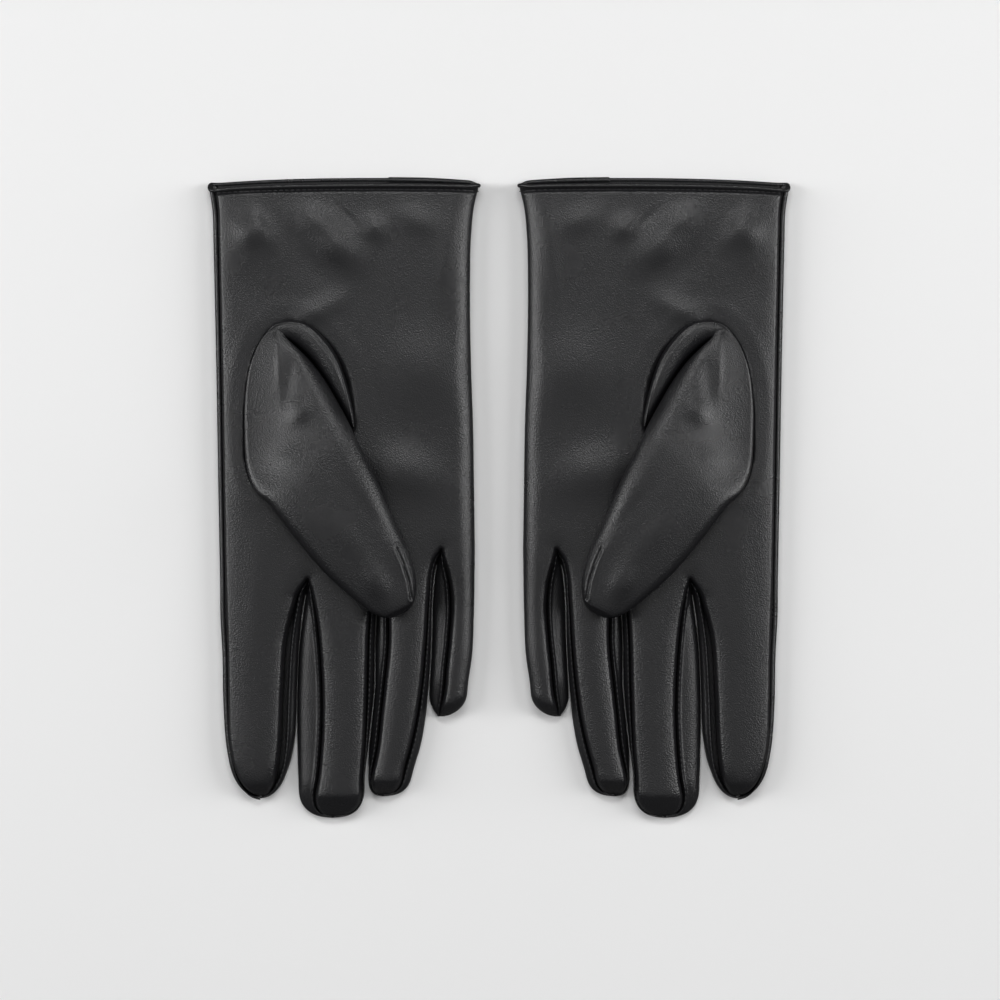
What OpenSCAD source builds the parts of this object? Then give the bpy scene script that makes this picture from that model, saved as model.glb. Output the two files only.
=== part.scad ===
// A pair of gentlemen's dress gloves in lined leather, lying flat side by side with the palms up.
// Units are millimetres. +Z is up, +Y runs from the fingertips to the cuffs and the gloves mirror in X.
// The left-hand glove is drawn at X > 0, and the right-hand glove is its mirror image.

/* [Glove] */
// Length from the cuff edge to the tip of the middle finger
glove_l = 250; // [230:1:270]
// Width of the cuff
cuff_w = 105; // [100:0.5:110]
// Clear gap between the two cuffs
pair_gap = 16; // [10:1:60]
// Thickness of the hand and the fingers lying flat
hand_h = 12; // [11:0.5:16]
// Thickness of the thumb lying on the palm
thumb_h = 13; // [11:0.5:16]

/* [Leather] */
// Thickness of the leather
leather_t = 1.2; // [0.8:0.1:1.4]
// Thickness of the knitted lining
lining_t = 0.7; // [0.5:0.1:0.8]
// Air between the leather and the lining
ease = 0.1; // [0.05:0.05:0.2]

/* [Fingers] */
// Lean of the four fingers towards the thumb side, in degrees
fan = 5; // [3:0.5:6]
// Gap between neighbouring fingers
finger_gap = 0.8; // [0.6:0.1:1]

/* [Cuff] */
// Width of the binding strip folded over the cuff edge
binding_w = 2.4; // [2:0.1:3.5]
// How far the back of the cuff stands out past the palm side
back_extra = 2.2; // [1:0.1:3]
// Length of one hem stitch and the space after it
stitch_l = 1.9; // [1.5:0.1:2.4]
stitch_gap = 0.5; // [0.4:0.1:1]

/* [Hidden] */
$fn = 48;
cuff_y = glove_l / 2;
palm_cuff_y = cuff_y - back_extra;
trank_end_y = palm_cuff_y - binding_w;
cuff_in = pair_gap / 2;
cuff_out = cuff_in + cuff_w;
leather_colour = [0.10, 0.10, 0.105];
fourchette_colour = [0.14, 0.14, 0.15];
lining_colour = [0.22, 0.22, 0.24];
thread_colour = [0.05, 0.05, 0.05];
sin_f = sin(fan);
cos_f = cos(fan);
skin = leather_t + ease;
body = skin + lining_t;
far = 300;

// Little-finger edge and index edge of the hand, as [y, inner x, outer x] measured from the cuff's corners
edge_stations = [
    [palm_cuff_y, 0, 0], [palm_cuff_y - 9, 2, -1], [palm_cuff_y - 25, 3.3, -1.8],
    [50, 3.2, -2.2], [0, 1.8, -3.4], [-30, 1.4, -4.2], [-70, 1.6, -5]];

// Fingers in the fan's own frame, where they run along -Y: left side, right side, knuckle, tip radius, tip centre x
index_f  = [72.0, 105.0, -65.8, 12.5, 84.5];
middle_f = [43.6, 71.0, -62.2, 12.3, 55.2];
ring_f   = [21.2, 42.6, -60.0, 8.6, 33.4];
little_f = [6.0, 20.2, -47.4, 6.8, 13.0];
// Lowest point of each fingertip, along the glove
index_tip_y = -glove_l / 2 + 7.6;
middle_tip_y = -glove_l / 2;
ring_tip_y = -glove_l / 2 + 8.4;
little_tip_y = -glove_l / 2 + 39.6;
// Crotch between two fingers in the fan's frame: slot centre x, crotch y
index_middle_c = [71.5, -38.4];
middle_ring_c = [43.1, -32.9];
ring_little_c = [20.7, -22.2];

knuckle_r = hand_h / 2;
knuckle_room = 1;
knuckle_lap = 3;
room_h = hand_h - 2 * body;
// How far a cut runs past the end that it opens
open_end = 3;

// Thumb: the fold line's middle and direction on the palm, its half width, and the tip in the fold's own frame
fold_x = 77;
fold_y = 16.4;
fold_angle = 140.4;
fold_half_w = 21.5;
thumb_lift = 0.4;
thumb_z = hand_h + thumb_lift;
thumb_r = thumb_h / 2;
thumb_tip = [-7.3, 63.8];
thumb_tip_r = 8.7;
hole_r = 14;
hole_ends = [[80.5, 51], [78.5, 27]];
hood_margin = 3.4;

PIECES = [
    "trank", "side_seam", "index_middle_fork", "middle_ring_fork", "ring_little_fork",
    "cuff_binding", "hem_stitching", "hand_lining",
    "thumb_gusset", "thumb_leather", "thumb_lining",
    "index_leather", "index_fourchette", "index_lining",
    "middle_leather", "middle_index_fourchette", "middle_ring_fourchette", "middle_lining",
    "ring_leather", "ring_middle_fourchette", "ring_little_fourchette", "ring_lining",
    "little_leather", "little_fourchette", "little_lining"];

// ---- Frames ----

module fan_frame() {
    rotate(fan) children();
}

module thumb_frame() {
    translate([fold_x, fold_y, 0]) rotate(fold_angle) children();
}

// ---- Hand ----

// Outline of the hand from the cuff down to the knuckle bends, each edge moved in by inset
module hand_plan(inset, extra = 0) {
    inner = [for (s = edge_stations) [cuff_in + s[1] + inset, s[0]]];
    outer = [for (i = [len(edge_stations) - 1 : -1 : 0])
        [cuff_out + edge_stations[i][2] - inset, edge_stations[i][0]]];
    top = [[cuff_out - inset, palm_cuff_y + extra], [cuff_in + inset, palm_cuff_y + extra]];
    difference() {
        polygon(concat(inner, outer, top));
        translate([0, trank_end_y + extra]) square([far, far]);
        fan_frame() {
            slot(index_middle_c, finger_gap / 2 + inset);
            slot(middle_ring_c, finger_gap / 2 + inset);
            slot(ring_little_c, finger_gap / 2 + inset);
            front_cut(index_f[2] - extra, index_middle_c[0], far);
            front_cut(middle_f[2] - extra, middle_ring_c[0], index_middle_c[0]);
            front_cut(ring_f[2] - extra, ring_little_c[0], middle_ring_c[0]);
            front_cut(little_f[2] - extra, -far, ring_little_c[0]);
        }
    }
}

module slot(crotch, half_w) {
    translate(crotch) circle(half_w);
    translate([crotch[0] - half_w, crotch[1] - far]) square([2 * half_w, far]);
}

module front_cut(knuckle_y, from_x, to_x) {
    translate([from_x, knuckle_y + knuckle_r + knuckle_room - far]) square([to_x - from_x, far]);
}

module thumb_hole(grow = 0) {
    hull() for (p = hole_ends) translate(p) circle(hole_r + grow, $fn = 32);
}

// One piece of leather for the palm and the back, folded round the little-finger edge
module trank() {
    color(leather_colour) difference() {
        union() {
            linear_extrude(leather_t) hand_plan(0);
            translate([0, 0, hand_h - leather_t]) linear_extrude(leather_t) hand_plan(0);
            linear_extrude(hand_h) intersection() {
                difference() { hand_plan(0); edge_band(cuff_in, 1, leather_t); }
                translate([0, -far]) square([cuff_in + 12, 2 * far]);
            }
        }
        translate([0, 0, hand_h / 2]) linear_extrude(hand_h) thumb_hole();
    }
}

// Everything further than w from the little-finger edge (side 1) or the index edge (side 2)
module edge_band(start_x, side, w) {
    dir = side == 1 ? 1 : -1;
    line = [for (s = edge_stations) [start_x + s[side] + dir * w, s[0]]];
    polygon(concat(line, [[start_x + dir * far, edge_stations[len(edge_stations) - 1][0]],
        [start_x + dir * far, palm_cuff_y]]));
}

// The two long edges of the trank, sewn together down the index side
module side_seam() {
    color(leather_colour) translate([0, 0, leather_t]) linear_extrude(hand_h - 2 * leather_t)
        intersection() {
            difference() { hand_plan(0); edge_band(cuff_out, 2, leather_t); }
            translate([cuff_out - 12, -far]) square([far, 2 * far]);
        }
}

// Y-shaped strip between two fingers: the crotch and its two legs, up to the knuckle bends
module fork(crotch, left_knuckle, right_knuckle) {
    outer_half = finger_gap / 2 + leather_t;
    color(fourchette_colour) translate([0, 0, leather_t]) linear_extrude(hand_h - 2 * leather_t)
        fan_frame() difference() {
            slot(crotch, outer_half);
            slot(crotch, finger_gap / 2);
            front_cut(left_knuckle, -far, crotch[0]);
            front_cut(right_knuckle, crotch[0], far);
        }
}

// Narrow strip folded over the raw cuff edge, with its ends lapped on the back
module cuff_binding() {
    y0 = trank_end_y + ease;
    side_t = leather_t + 0.6;
    color(leather_colour) difference() {
        union() {
            translate([cuff_in, y0, 0]) cube([cuff_w, palm_cuff_y - y0, hand_h]);
            translate([cuff_in, y0, 0]) cube([cuff_w, cuff_y - y0, hand_h / 2]);
        }
        translate([cuff_in + side_t, y0 - 1, side_t])
            cube([cuff_w - 2 * side_t, far, hand_h - 2 * side_t]);
        translate([cuff_in - 1, palm_cuff_y, side_t]) cube([cuff_w + 2, far, hand_h]);
    }
}

// Row of stitches that holds the binding down on the palm side
module hem_stitching() {
    pitch = stitch_l + stitch_gap;
    count = floor((cuff_w - 6) / pitch);
    thread = 0.4;
    color(thread_colour) for (i = [0 : count - 1])
        translate([cuff_in + 3 + i * pitch, trank_end_y - 0.6, hand_h])
            cube([stitch_l, thread, thread]);
}

// Knitted inner hand, open at the cuff and at every finger
module hand_lining() {
    color(lining_colour) difference() {
        translate([0, 0, skin]) linear_extrude(hand_h - 2 * skin) hand_plan(skin);
        translate([0, 0, body]) linear_extrude(room_h) hand_plan(body, open_end);
        translate([0, 0, hand_h / 2]) linear_extrude(hand_h) thumb_hole();
    }
}

// ---- Fingers ----

function tip_centre(f, tip_y) = [f[4], (tip_y + f[3] - f[4] * sin_f) / cos_f];

// Point where the line from p touches the circle of radius r round c, to the side given by 1 or -1
function tangent(p, c, r, side) =
    let (d = norm(c - p), a = atan2(c[1] - p[1], c[0] - p[0]) + side * asin(r / d))
    p + sqrt(d * d - r * r) * [cos(a), sin(a)];

// Outline of one finger beyond its knuckle, with each edge moved in by inset and lap added behind the knuckle
module finger_plan(f, tip_y, inset, lap = 0) {
    c = tip_centre(f, tip_y);
    r = f[3] - inset;
    left = [f[0] + inset, f[2]];
    right = [f[1] - inset, f[2]];
    polygon([left, tangent(left, c, r, -1), c, tangent(right, c, r, 1), right]);
    translate(c) circle(r);
    if (lap > 0) translate([f[0] + inset, f[2] - 1]) square([f[1] - f[0] - 2 * inset, lap + 1]);
}

// Lips that carry the leather round the knuckle bend, centred on the bend's axis
module knuckle_lips(f) {
    w = f[1] - f[0];
    translate([f[0], f[2], knuckle_r]) intersection() {
        rotate([0, 90, 0]) difference() {
            cylinder(r = knuckle_r, h = w);
            translate([0, 0, -1]) cylinder(r = knuckle_r - leather_t, h = w + 2);
        }
        union() {
            translate([0, 0, knuckle_r - body]) cube([w, knuckle_r, body]);
            translate([0, 0, -knuckle_r]) cube([w, knuckle_r, body]);
        }
    }
}

// Palm and back leather of one finger with its closed tip, and the walls that have no fourchette
module finger_leather(f, tip_y, wall_sides) {
    c = tip_centre(f, tip_y);
    color(leather_colour) fan_frame() {
        linear_extrude(leather_t) finger_plan(f, tip_y, 0);
        translate([0, 0, hand_h - leather_t]) linear_extrude(leather_t) finger_plan(f, tip_y, 0);
        linear_extrude(hand_h) intersection() {
            finger_rim(f, tip_y);
            translate([-far, c[1] - far]) square([2 * far, far]);
        }
        for (side = wall_sides) finger_wall(f, tip_y, side);
        knuckle_lips(f);
    }
}

module finger_rim(f, tip_y, lap = 0) {
    difference() {
        finger_plan(f, tip_y, 0, lap);
        finger_plan(f, tip_y, leather_t, lap + 1);
    }
}

// Side wall of a finger between its palm and back leather: side 0 is the little-finger side
module finger_wall(f, tip_y, side) {
    c = tip_centre(f, tip_y);
    middle_x = (f[0] + f[1]) / 2;
    translate([0, 0, leather_t]) linear_extrude(hand_h - 2 * leather_t) intersection() {
        finger_rim(f, tip_y, knuckle_lap);
        translate([side == 0 ? middle_x - far : middle_x, c[1]]) square([far, far]);
    }
}

// Side strip of a finger, sewn between its palm and back leather, with its end cut back between the knuckle lips
module fourchette(f, tip_y, side) {
    color(fourchette_colour) fan_frame() difference() {
        finger_wall(f, tip_y, side);
        for (z = [0, hand_h - body]) translate([f[0], f[2], z]) cube([f[1] - f[0], far, body]);
    }
}

module finger_lining(f, tip_y) {
    color(lining_colour) fan_frame() lining_stall(hand_h) {
        finger_plan(f, tip_y, skin);
        finger_plan(f, tip_y, body, open_end);
    }
}

// Knitted stall inside leather of height h: its first child is its outline and the second is its room
module lining_stall(h) {
    wall_h = h - 2 * skin;
    translate([0, 0, skin]) {
        linear_extrude(lining_t) children(0);
        translate([0, 0, wall_h - lining_t]) linear_extrude(lining_t) children(0);
        linear_extrude(wall_h) difference() { children(0); children(1); }
    }
}

// ---- Thumb ----

// Outline of the thumb beyond its fold line, in the fold's frame
module thumb_plan(inset, lap = 0) {
    r = thumb_tip_r - inset;
    side = fold_half_w - inset;
    left = [-side, 0];
    right = [side, 0];
    polygon([left, tangent(left, thumb_tip, r, 1), thumb_tip, tangent(right, thumb_tip, r, -1), right]);
    translate(thumb_tip) circle(r);
    if (lap > 0) translate([-side, -lap]) square([2 * side, lap + 1]);
}

module thumb_lips() {
    w = 2 * fold_half_w;
    translate([-fold_half_w, 0, thumb_r]) intersection() {
        rotate([0, 90, 0]) difference() {
            cylinder(r = thumb_r, h = w);
            translate([0, 0, -1]) cylinder(r = thumb_r - leather_t, h = w + 2);
        }
        translate([0, -thumb_r, thumb_r - body]) cube([w, thumb_r, body]);
    }
}

// The thumb's own leather, a closed stall that opens at the fold line
module thumb_leather() {
    color(leather_colour) translate([0, 0, thumb_z]) thumb_frame() {
        difference() {
            linear_extrude(thumb_h) thumb_plan(0);
            translate([0, 0, leather_t]) linear_extrude(thumb_h - 2 * leather_t)
                thumb_plan(leather_t, open_end);
        }
        thumb_lips();
    }
}

module thumb_lining() {
    color(lining_colour) translate([0, 0, thumb_z]) thumb_frame() lining_stall(thumb_h) {
        thumb_plan(skin);
        thumb_plan(body, open_end);
    }
}

// Gusset that rises from the seam round the thumb hole and leads into the thumb
module thumb_gusset() {
    color(leather_colour) difference() {
        gusset_form(0, 0);
        gusset_form(leather_t, 0.01);
        thumb_frame() translate([-far, -thumb_r - knuckle_room, 0]) cube([2 * far, far, far]);
    }
}

module gusset_form(inset, drop) {
    hull() {
        translate([0, 0, hand_h - drop]) linear_extrude(0.6 + drop) thumb_hole(hood_margin - inset);
        translate([0, 0, hand_h - drop]) thumb_frame()
            translate([inset - fold_half_w + 4, -thumb_r - 3, 0])
                cube([2 * (fold_half_w - 4 - inset), 6, thumb_h - 3 - inset + drop]);
    }
}

// ---- One glove, piece by piece ----

module glove_piece(name) {
    if (name == "trank") trank();
    if (name == "side_seam") side_seam();
    if (name == "index_middle_fork") fork(index_middle_c, middle_f[2], index_f[2]);
    if (name == "middle_ring_fork") fork(middle_ring_c, ring_f[2], middle_f[2]);
    if (name == "ring_little_fork") fork(ring_little_c, little_f[2], ring_f[2]);
    if (name == "cuff_binding") cuff_binding();
    if (name == "hem_stitching") hem_stitching();
    if (name == "hand_lining") hand_lining();
    if (name == "thumb_gusset") thumb_gusset();
    if (name == "thumb_leather") thumb_leather();
    if (name == "thumb_lining") thumb_lining();
    if (name == "index_leather") finger_leather(index_f, index_tip_y, [1]);
    if (name == "index_fourchette") fourchette(index_f, index_tip_y, 0);
    if (name == "index_lining") finger_lining(index_f, index_tip_y);
    if (name == "middle_leather") finger_leather(middle_f, middle_tip_y, []);
    if (name == "middle_index_fourchette") fourchette(middle_f, middle_tip_y, 1);
    if (name == "middle_ring_fourchette") fourchette(middle_f, middle_tip_y, 0);
    if (name == "middle_lining") finger_lining(middle_f, middle_tip_y);
    if (name == "ring_leather") finger_leather(ring_f, ring_tip_y, []);
    if (name == "ring_middle_fourchette") fourchette(ring_f, ring_tip_y, 1);
    if (name == "ring_little_fourchette") fourchette(ring_f, ring_tip_y, 0);
    if (name == "ring_lining") finger_lining(ring_f, ring_tip_y);
    if (name == "little_leather") finger_leather(little_f, little_tip_y, [0]);
    if (name == "little_fourchette") fourchette(little_f, little_tip_y, 1);
    if (name == "little_lining") finger_lining(little_f, little_tip_y);
}

for (piece = PIECES) {
    glove_piece(piece);
    mirror([1, 0, 0]) glove_piece(piece);
}
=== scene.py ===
"""A pair of gentlemen's dress gloves in black leather, lying flat with the palms up and the thumbs folded over.
All sizes are millimetres, drawn for the left glove; the right glove is its mirror image."""
import math

import bpy
import numpy as np
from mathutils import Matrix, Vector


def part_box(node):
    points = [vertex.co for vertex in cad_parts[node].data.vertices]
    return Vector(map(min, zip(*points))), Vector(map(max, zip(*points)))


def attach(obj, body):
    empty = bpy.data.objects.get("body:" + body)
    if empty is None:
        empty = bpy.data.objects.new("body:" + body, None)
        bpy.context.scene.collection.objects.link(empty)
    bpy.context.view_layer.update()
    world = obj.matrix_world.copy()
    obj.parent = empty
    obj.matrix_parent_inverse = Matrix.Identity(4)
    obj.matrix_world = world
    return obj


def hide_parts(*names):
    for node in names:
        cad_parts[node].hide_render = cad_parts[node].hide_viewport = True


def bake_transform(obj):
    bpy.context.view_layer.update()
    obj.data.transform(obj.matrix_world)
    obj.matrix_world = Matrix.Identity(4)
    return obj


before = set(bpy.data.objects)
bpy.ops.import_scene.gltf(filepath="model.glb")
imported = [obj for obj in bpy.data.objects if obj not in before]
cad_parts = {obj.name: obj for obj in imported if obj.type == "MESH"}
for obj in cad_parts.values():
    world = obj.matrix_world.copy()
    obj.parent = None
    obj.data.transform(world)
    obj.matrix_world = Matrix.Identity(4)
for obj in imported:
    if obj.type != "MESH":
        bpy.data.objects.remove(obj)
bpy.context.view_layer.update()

# ---- Trank ----
# The one piece of black sheepskin that is the back and the palm of a glove. It is folded round the little-finger
# edge and closed along the index edge, where its back stands up as a welt beside the seam.

HANDS = (("left", 1), ("right", -1))
MM = 0.001
skin = 0.6  # thickness of the leather
table_gap = 0.12  # the back's height over the surface that the glove lies on


def new_finish(name, **values):
    """A new material, its nodes, its links, its shader with these values set, and the place on the glove."""
    mat = bpy.data.materials.new(name)
    mat.use_nodes = True
    nodes, links = mat.node_tree.nodes, mat.node_tree.links
    shader = nodes["Principled BSDF"]
    for key, value in values.items():
        shader.inputs[key.replace("_", " ")].default_value = value
    return mat, nodes, links, shader, nodes.new("ShaderNodeTexCoord").outputs["Object"]


def raise_surface(nodes, links, shader, height, strength, deep):
    """Bump from a height output, deep metres at strength 1."""
    bump = nodes.new("ShaderNodeBump")
    bump.inputs["Strength"].default_value = strength
    bump.inputs["Distance"].default_value = deep
    links.new(height, bump.inputs["Height"])
    links.new(bump.outputs["Normal"], shader.inputs["Normal"])


cell_scale, wrinkle_scale, patch_scale = 1800, 1600, 60  # to the metre
wrinkle_share = 1.3  # height of the wrinkles against that of the cells
grain_depth = 0.00012
polish_range, tone_range = 0.03, 0.15  # how far the polish and the colour vary from place to place


def leather(name, colour, roughness, grain):
    """Pebbled grain: cells of about 0.6 mm with finer wrinkles, as a bump, on a colour and a polish that vary a
    little from place to place."""
    mat, nodes, links, shader, place = new_finish(name, IOR=1.5)

    def texture(kind, scale, **values):
        node = nodes.new(kind)
        links.new(place, node.inputs["Vector"])
        node.inputs["Scale"].default_value = scale
        for key, value in values.items():
            node.inputs[key].default_value = value
        return node

    cells = texture("ShaderNodeTexVoronoi", cell_scale, Randomness=1.0)
    wrinkles = texture("ShaderNodeTexNoise", wrinkle_scale, Detail=4.0, Roughness=0.65)
    patches = texture("ShaderNodeTexNoise", patch_scale, Detail=3.0)
    height = nodes.new("ShaderNodeMath")
    height.operation = "MULTIPLY_ADD"
    links.new(wrinkles.outputs["Fac"], height.inputs[0])
    height.inputs[1].default_value = wrinkle_share
    links.new(cells.outputs["Distance"], height.inputs[2])
    raise_surface(nodes, links, shader, height.outputs[0], grain, grain_depth)
    polish = nodes.new("ShaderNodeMapRange")
    links.new(patches.outputs["Fac"], polish.inputs["Value"])
    for key, value in (("From Min", 0.3), ("From Max", 0.7), ("To Min", roughness - polish_range),
                       ("To Max", roughness + polish_range)):
        polish.inputs[key].default_value = value
    links.new(polish.outputs["Result"], shader.inputs["Roughness"])
    tone = nodes.new("ShaderNodeMix")
    tone.data_type = "RGBA"
    tone.inputs["A"].default_value = (*[c * (1 - tone_range) for c in colour], 1)
    tone.inputs["B"].default_value = (*[c * (1 + tone_range) for c in colour], 1)
    links.new(wrinkles.outputs["Fac"], tone.inputs["Factor"])
    links.new(tone.outputs["Result"], shader.inputs["Base Color"])
    return mat


black_leather = leather("black_leather", (0.0084, 0.0084, 0.0095), 0.29, 0.74)


def smooth_line(stations, y):
    """The value at y of a smooth line through (y, value) stations: a cubic between each two, whose slope at each
    station is that of its neighbours, and level beyond the ends."""
    p = np.array(sorted(stations), float)
    slope = np.gradient(p[:, 1], p[:, 0])
    y = np.clip(y, p[0, 0], p[-1, 0])
    i = np.clip(np.searchsorted(p[:, 0], y) - 1, 0, len(p) - 2)
    h = p[i + 1, 0] - p[i, 0]
    t = (y - p[i, 0]) / h
    start = (2 * t**3 - 3 * t**2 + 1) * p[i, 1] + (t**3 - 2 * t**2 + t) * h * slope[i]
    end = (-2 * t**3 + 3 * t**2) * p[i + 1, 1] + (t**3 - t**2) * h * slope[i + 1]
    return start + end


def roll(t):
    """A quarter circle: 0 at t = 0, rising straight up at first, and 1 from t = 1 on."""
    return np.sqrt(1 - (1 - np.clip(t, 0, 1)) ** 2)


def ease(t):
    """A soft step from 0 at t = 0 to 1 at t = 1."""
    t = np.clip(t, 0, 1)
    return t * t * (3 - 2 * t)


def bell(t):
    """A soft bump: 1 at t = 0, and next to nothing beyond 2."""
    return np.exp(-(t**2))


def mix(a, b, t):
    """a at t = 0 and b at t = 1, and straight between."""
    return a + (b - a) * t


def close_ends(count):
    """Numbers from 0 to 1, close together at both ends: half of 1 less a cosine."""
    return 0.5 - 0.5 * np.cos(np.linspace(0, math.pi, count))


def grid_faces(rows, cols, loop=False):
    """Corner numbers of the quads of a grid; loop joins the last column to the first."""
    i, j = np.meshgrid(np.arange(rows - 1), np.arange(cols if loop else cols - 1), indexing="ij")
    k = (j + 1) % cols
    return np.stack([i * cols + j, (i + 1) * cols + j, (i + 1) * cols + k, i * cols + k], -1).reshape(-1, 4)


def outward(P):
    """Unit normals of a grid of points P: the cross product of its steps along the rows and the columns."""
    normal = np.cross(np.gradient(P, axis=0), np.gradient(P, axis=1))
    return normal / np.maximum(np.linalg.norm(normal, axis=2, keepdims=True), 1e-9)


def skin_of(P, thickness=skin):
    """A closed skin from a grid of points P, whose outside faces up where its rows go towards -Y and its columns
    towards +X: the grid, a copy moved in along its normals, and the rim between them."""
    rows, cols = P.shape[:2]
    n = rows * cols
    outer = grid_faces(rows, cols)
    index = np.arange(n).reshape(rows, cols)
    rim = np.concatenate([index[0, :-1], index[:-1, -1], index[-1, :0:-1], index[:0:-1, 0]])
    after = np.roll(rim, -1)
    sides = np.stack([rim, after, after + n, rim + n], -1)
    points = np.concatenate([P.reshape(-1, 3), (P - outward(P) * thickness).reshape(-1, 3)])
    return points, [outer, outer[:, ::-1] + n, sides]


def tube_of(P, loop=False):
    """A closed tube from rings of points P: the rings joined one to the next, with both ends closed by a fan, or
    with the last ring joined to the first."""
    rows, cols = P.shape[:2]
    ring = np.arange(cols)
    after = (ring + 1) % cols
    if loop:
        last = (rows - 1) * cols
        return P.reshape(-1, 3), [grid_faces(rows, cols, True),
                                  np.stack([last + ring, ring, after, last + after], -1)]
    first = np.stack([np.full(cols, rows * cols), ring, after], -1)
    last = np.stack([np.full(cols, rows * cols + 1), (rows - 1) * cols + after, (rows - 1) * cols + ring], -1)
    points = np.concatenate([P.reshape(-1, 3), P[0].mean(0)[None], P[-1].mean(0)[None]])
    return points, [grid_faces(rows, cols, True), first, last]


def both_gloves(name, shapes, material, node=None):
    """One smooth object for each glove, {hand: object}, from shapes of the left glove. For the right glove x changes
    sign, and each face is turned over to keep its outside. Edges sharper than 60 degrees stay sharp."""
    made = {}
    for hand, side in HANDS:
        faces, start = [], 0
        for points, groups in shapes:
            for group in groups:
                faces += (group[:, ::side] + start).tolist()
            start += len(points)
        mesh = bpy.data.meshes.new(f"{hand}_{name}")
        everything = np.concatenate([points for points, _ in shapes]) * (side * MM, MM, MM)
        mesh.from_pydata(everything.tolist(), [], faces)
        mesh.polygons.foreach_set("use_smooth", np.ones(len(mesh.polygons), bool))
        mesh.set_sharp_from_angle(angle=math.radians(60))
        mesh.materials.append(material)
        piece = bpy.data.objects.new(f"{hand}_{name}_piece", mesh)
        bpy.context.scene.collection.objects.link(piece)
        if node:
            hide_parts(f"{hand}_{node}")
        made[hand] = piece
    return made


def on_hand(made):
    """Each glove's piece moves with that glove's hand."""
    for hand, piece in made.items():
        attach(piece, f"{hand}_hand")


cuff_low, cuff_high = (np.array(c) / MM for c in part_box("left_cuff_binding"))
corner = cuff_low[0]  # x of the cuff's little-finger corner, from which the lines below measure
crown = 10.6

# Each finger's lines, as (millimetres above the fingertip, millimetres from the corner). The sole lines are its
# outline on the back of the glove, and the palm lines are the edges of its palm leather. A finger's out side is the
# one towards the index edge, and its forks are the ends of the gaps on its in side and its out side.
FORKS = {"index_middle": (66.5, -32.0), "middle_ring": (38.0, -28.9), "ring_little": (14.6, -20.3)}
FINGERS = {
    "little": {
        "in": "fold", "out": "ring_little", "tip": (15.0, 9.0, 2.0), "cols": 30,
        "sole_out": ((65.1, 14.6), (57.3, 16.6), (45.6, 17.8), (30, 18.2), (18, 18.8), (10.5, 19.2), (4.7, 19.2),
                     (0, 18.2)),
        "palm_out": ((65.1, 14.6), (61.2, 13.7), (53.4, 11.9), (45.6, 11.2), (30, 11.9), (18.3, 13.1),
                     (10.5, 13.7), (0, 15.0)),
        "palm_in": ((65, 1.4), (40, 1.8), (24, 2.5), (12.5, 4.1), (0, 5.0)),
        "sole_in": ((65, 1.4), (40, 1.8), (24, 2.5), (12.5, 4.1), (0, 5.0))},
    "ring": {
        "in": "ring_little", "out": "middle_ring", "tip": (37.5, 9.0, 2.6), "cols": 36,
        "sole_out": ((87.7, 38.0), (75, 39.5), (61, 40.3), (42, 40.5), (25, 42.2), (18, 42.9), (8, 43.1),
                     (0, 43.6)),
        "palm_out": ((87.7, 38.0), (82, 36.6), (75, 35.8), (61, 35.5), (42, 37.3), (33, 38.3), (18, 40.0),
                     (8.6, 42.0), (0, 42.8)),
        "palm_in": ((96.3, 14.6), (92, 17.4), (88.5, 18.3), (77, 19.1), (61, 20.1), (42, 21.9), (33, 23.2),
                    (18, 26.4), (8.6, 29.1), (0, 30.3)),
        "sole_in": ((96.3, 14.6), (88.5, 16.9), (77, 18.1), (61, 18.5), (49, 19.1), (42, 19.6), (28, 21.1),
                    (20, 22.6), (12.5, 24.8), (8.6, 25.9), (0, 27.0))},
    "middle": {
        "in": "middle_ring", "out": "index_middle", "tip": (56.9, 12.0, 2.5), "cols": 42,
        "sole_out": ((93, 66.5), (85, 67.8), (69.6, 69.8), (50, 70.8), (33, 70.9), (22, 70.7), (13, 70.4),
                     (0, 70.2)),
        "palm_out": ((93, 66.5), (89, 65.2), (85, 64.4), (69.6, 62.6), (50, 61.4), (41, 61.3), (27, 61.9),
                     (15, 63.1), (9, 64.2), (0, 65.1)),
        "palm_in": ((96.1, 38.0), (92, 40.1), (88, 41.2), (77.4, 42.2), (50, 43.1), (27, 44.0), (15, 44.9),
                    (0, 44.7)),
        "sole_in": ((96.1, 38.0), (83.4, 39.7), (69.6, 40.5), (50, 40.8), (34, 42.45), (27, 43.2), (15, 44.6),
                    (0, 44.5))},
    "index": {
        "in": "index_middle", "out": "side", "tip": (85.0, 15.0, 2.0), "cols": 46,
        "sole_out": ((85, 100.9), (72, 100.8), (56, 100.0), (37, 99.6), (21, 98.5), (13, 97.2), (0, 96.2)),
        "palm_out": ((85, 98.9), (56, 98.0), (37, 97.7), (21, 97.0), (13, 95.7), (0, 94.7)),
        "palm_in": ((85.4, 66.5), (81.5, 69.2), (73.7, 71.2), (62, 73.1), (42.5, 74.4), (19, 75.5), (8, 76.7),
                    (0, 77.6)),
        "sole_in": ((85.4, 66.5), (77.4, 68.1), (62, 70.0), (42, 71.0), (33, 71.2), (25, 71.6), (17, 72.9),
                    (11, 74.3), (0, 75.0))},
}
# The hand's two long edges, as (y, millimetres from the corner)
FOLD_EDGE = ((122, -0.2), (114, 1.7), (102, 2.9), (85, 3.3), (52, 2.9), (28, 2.1), (5, 1.75), (-20.4, 1.4))
INDEX_EDGE = ((122, 105.1), (114, 103.9), (102, 103.5), (85, 103.1), (52, 102.4), (5, 101.6), (-32.4, 100.9))
seam_inset = 2.0  # from the index edge to the edge of the palm leather
edge_join = {"fold": -20.4, "side": -33.6}  # y where the little and index fingers leave the hand, at its edges
seam_height = {"fold": 4.8, "side": 5.0, "fork": 6.3}
tip_inset = {"fold": 0.0, "side": 1.1, "fork": 0.8}  # how far the palm leather ends short of the fingertip
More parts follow.
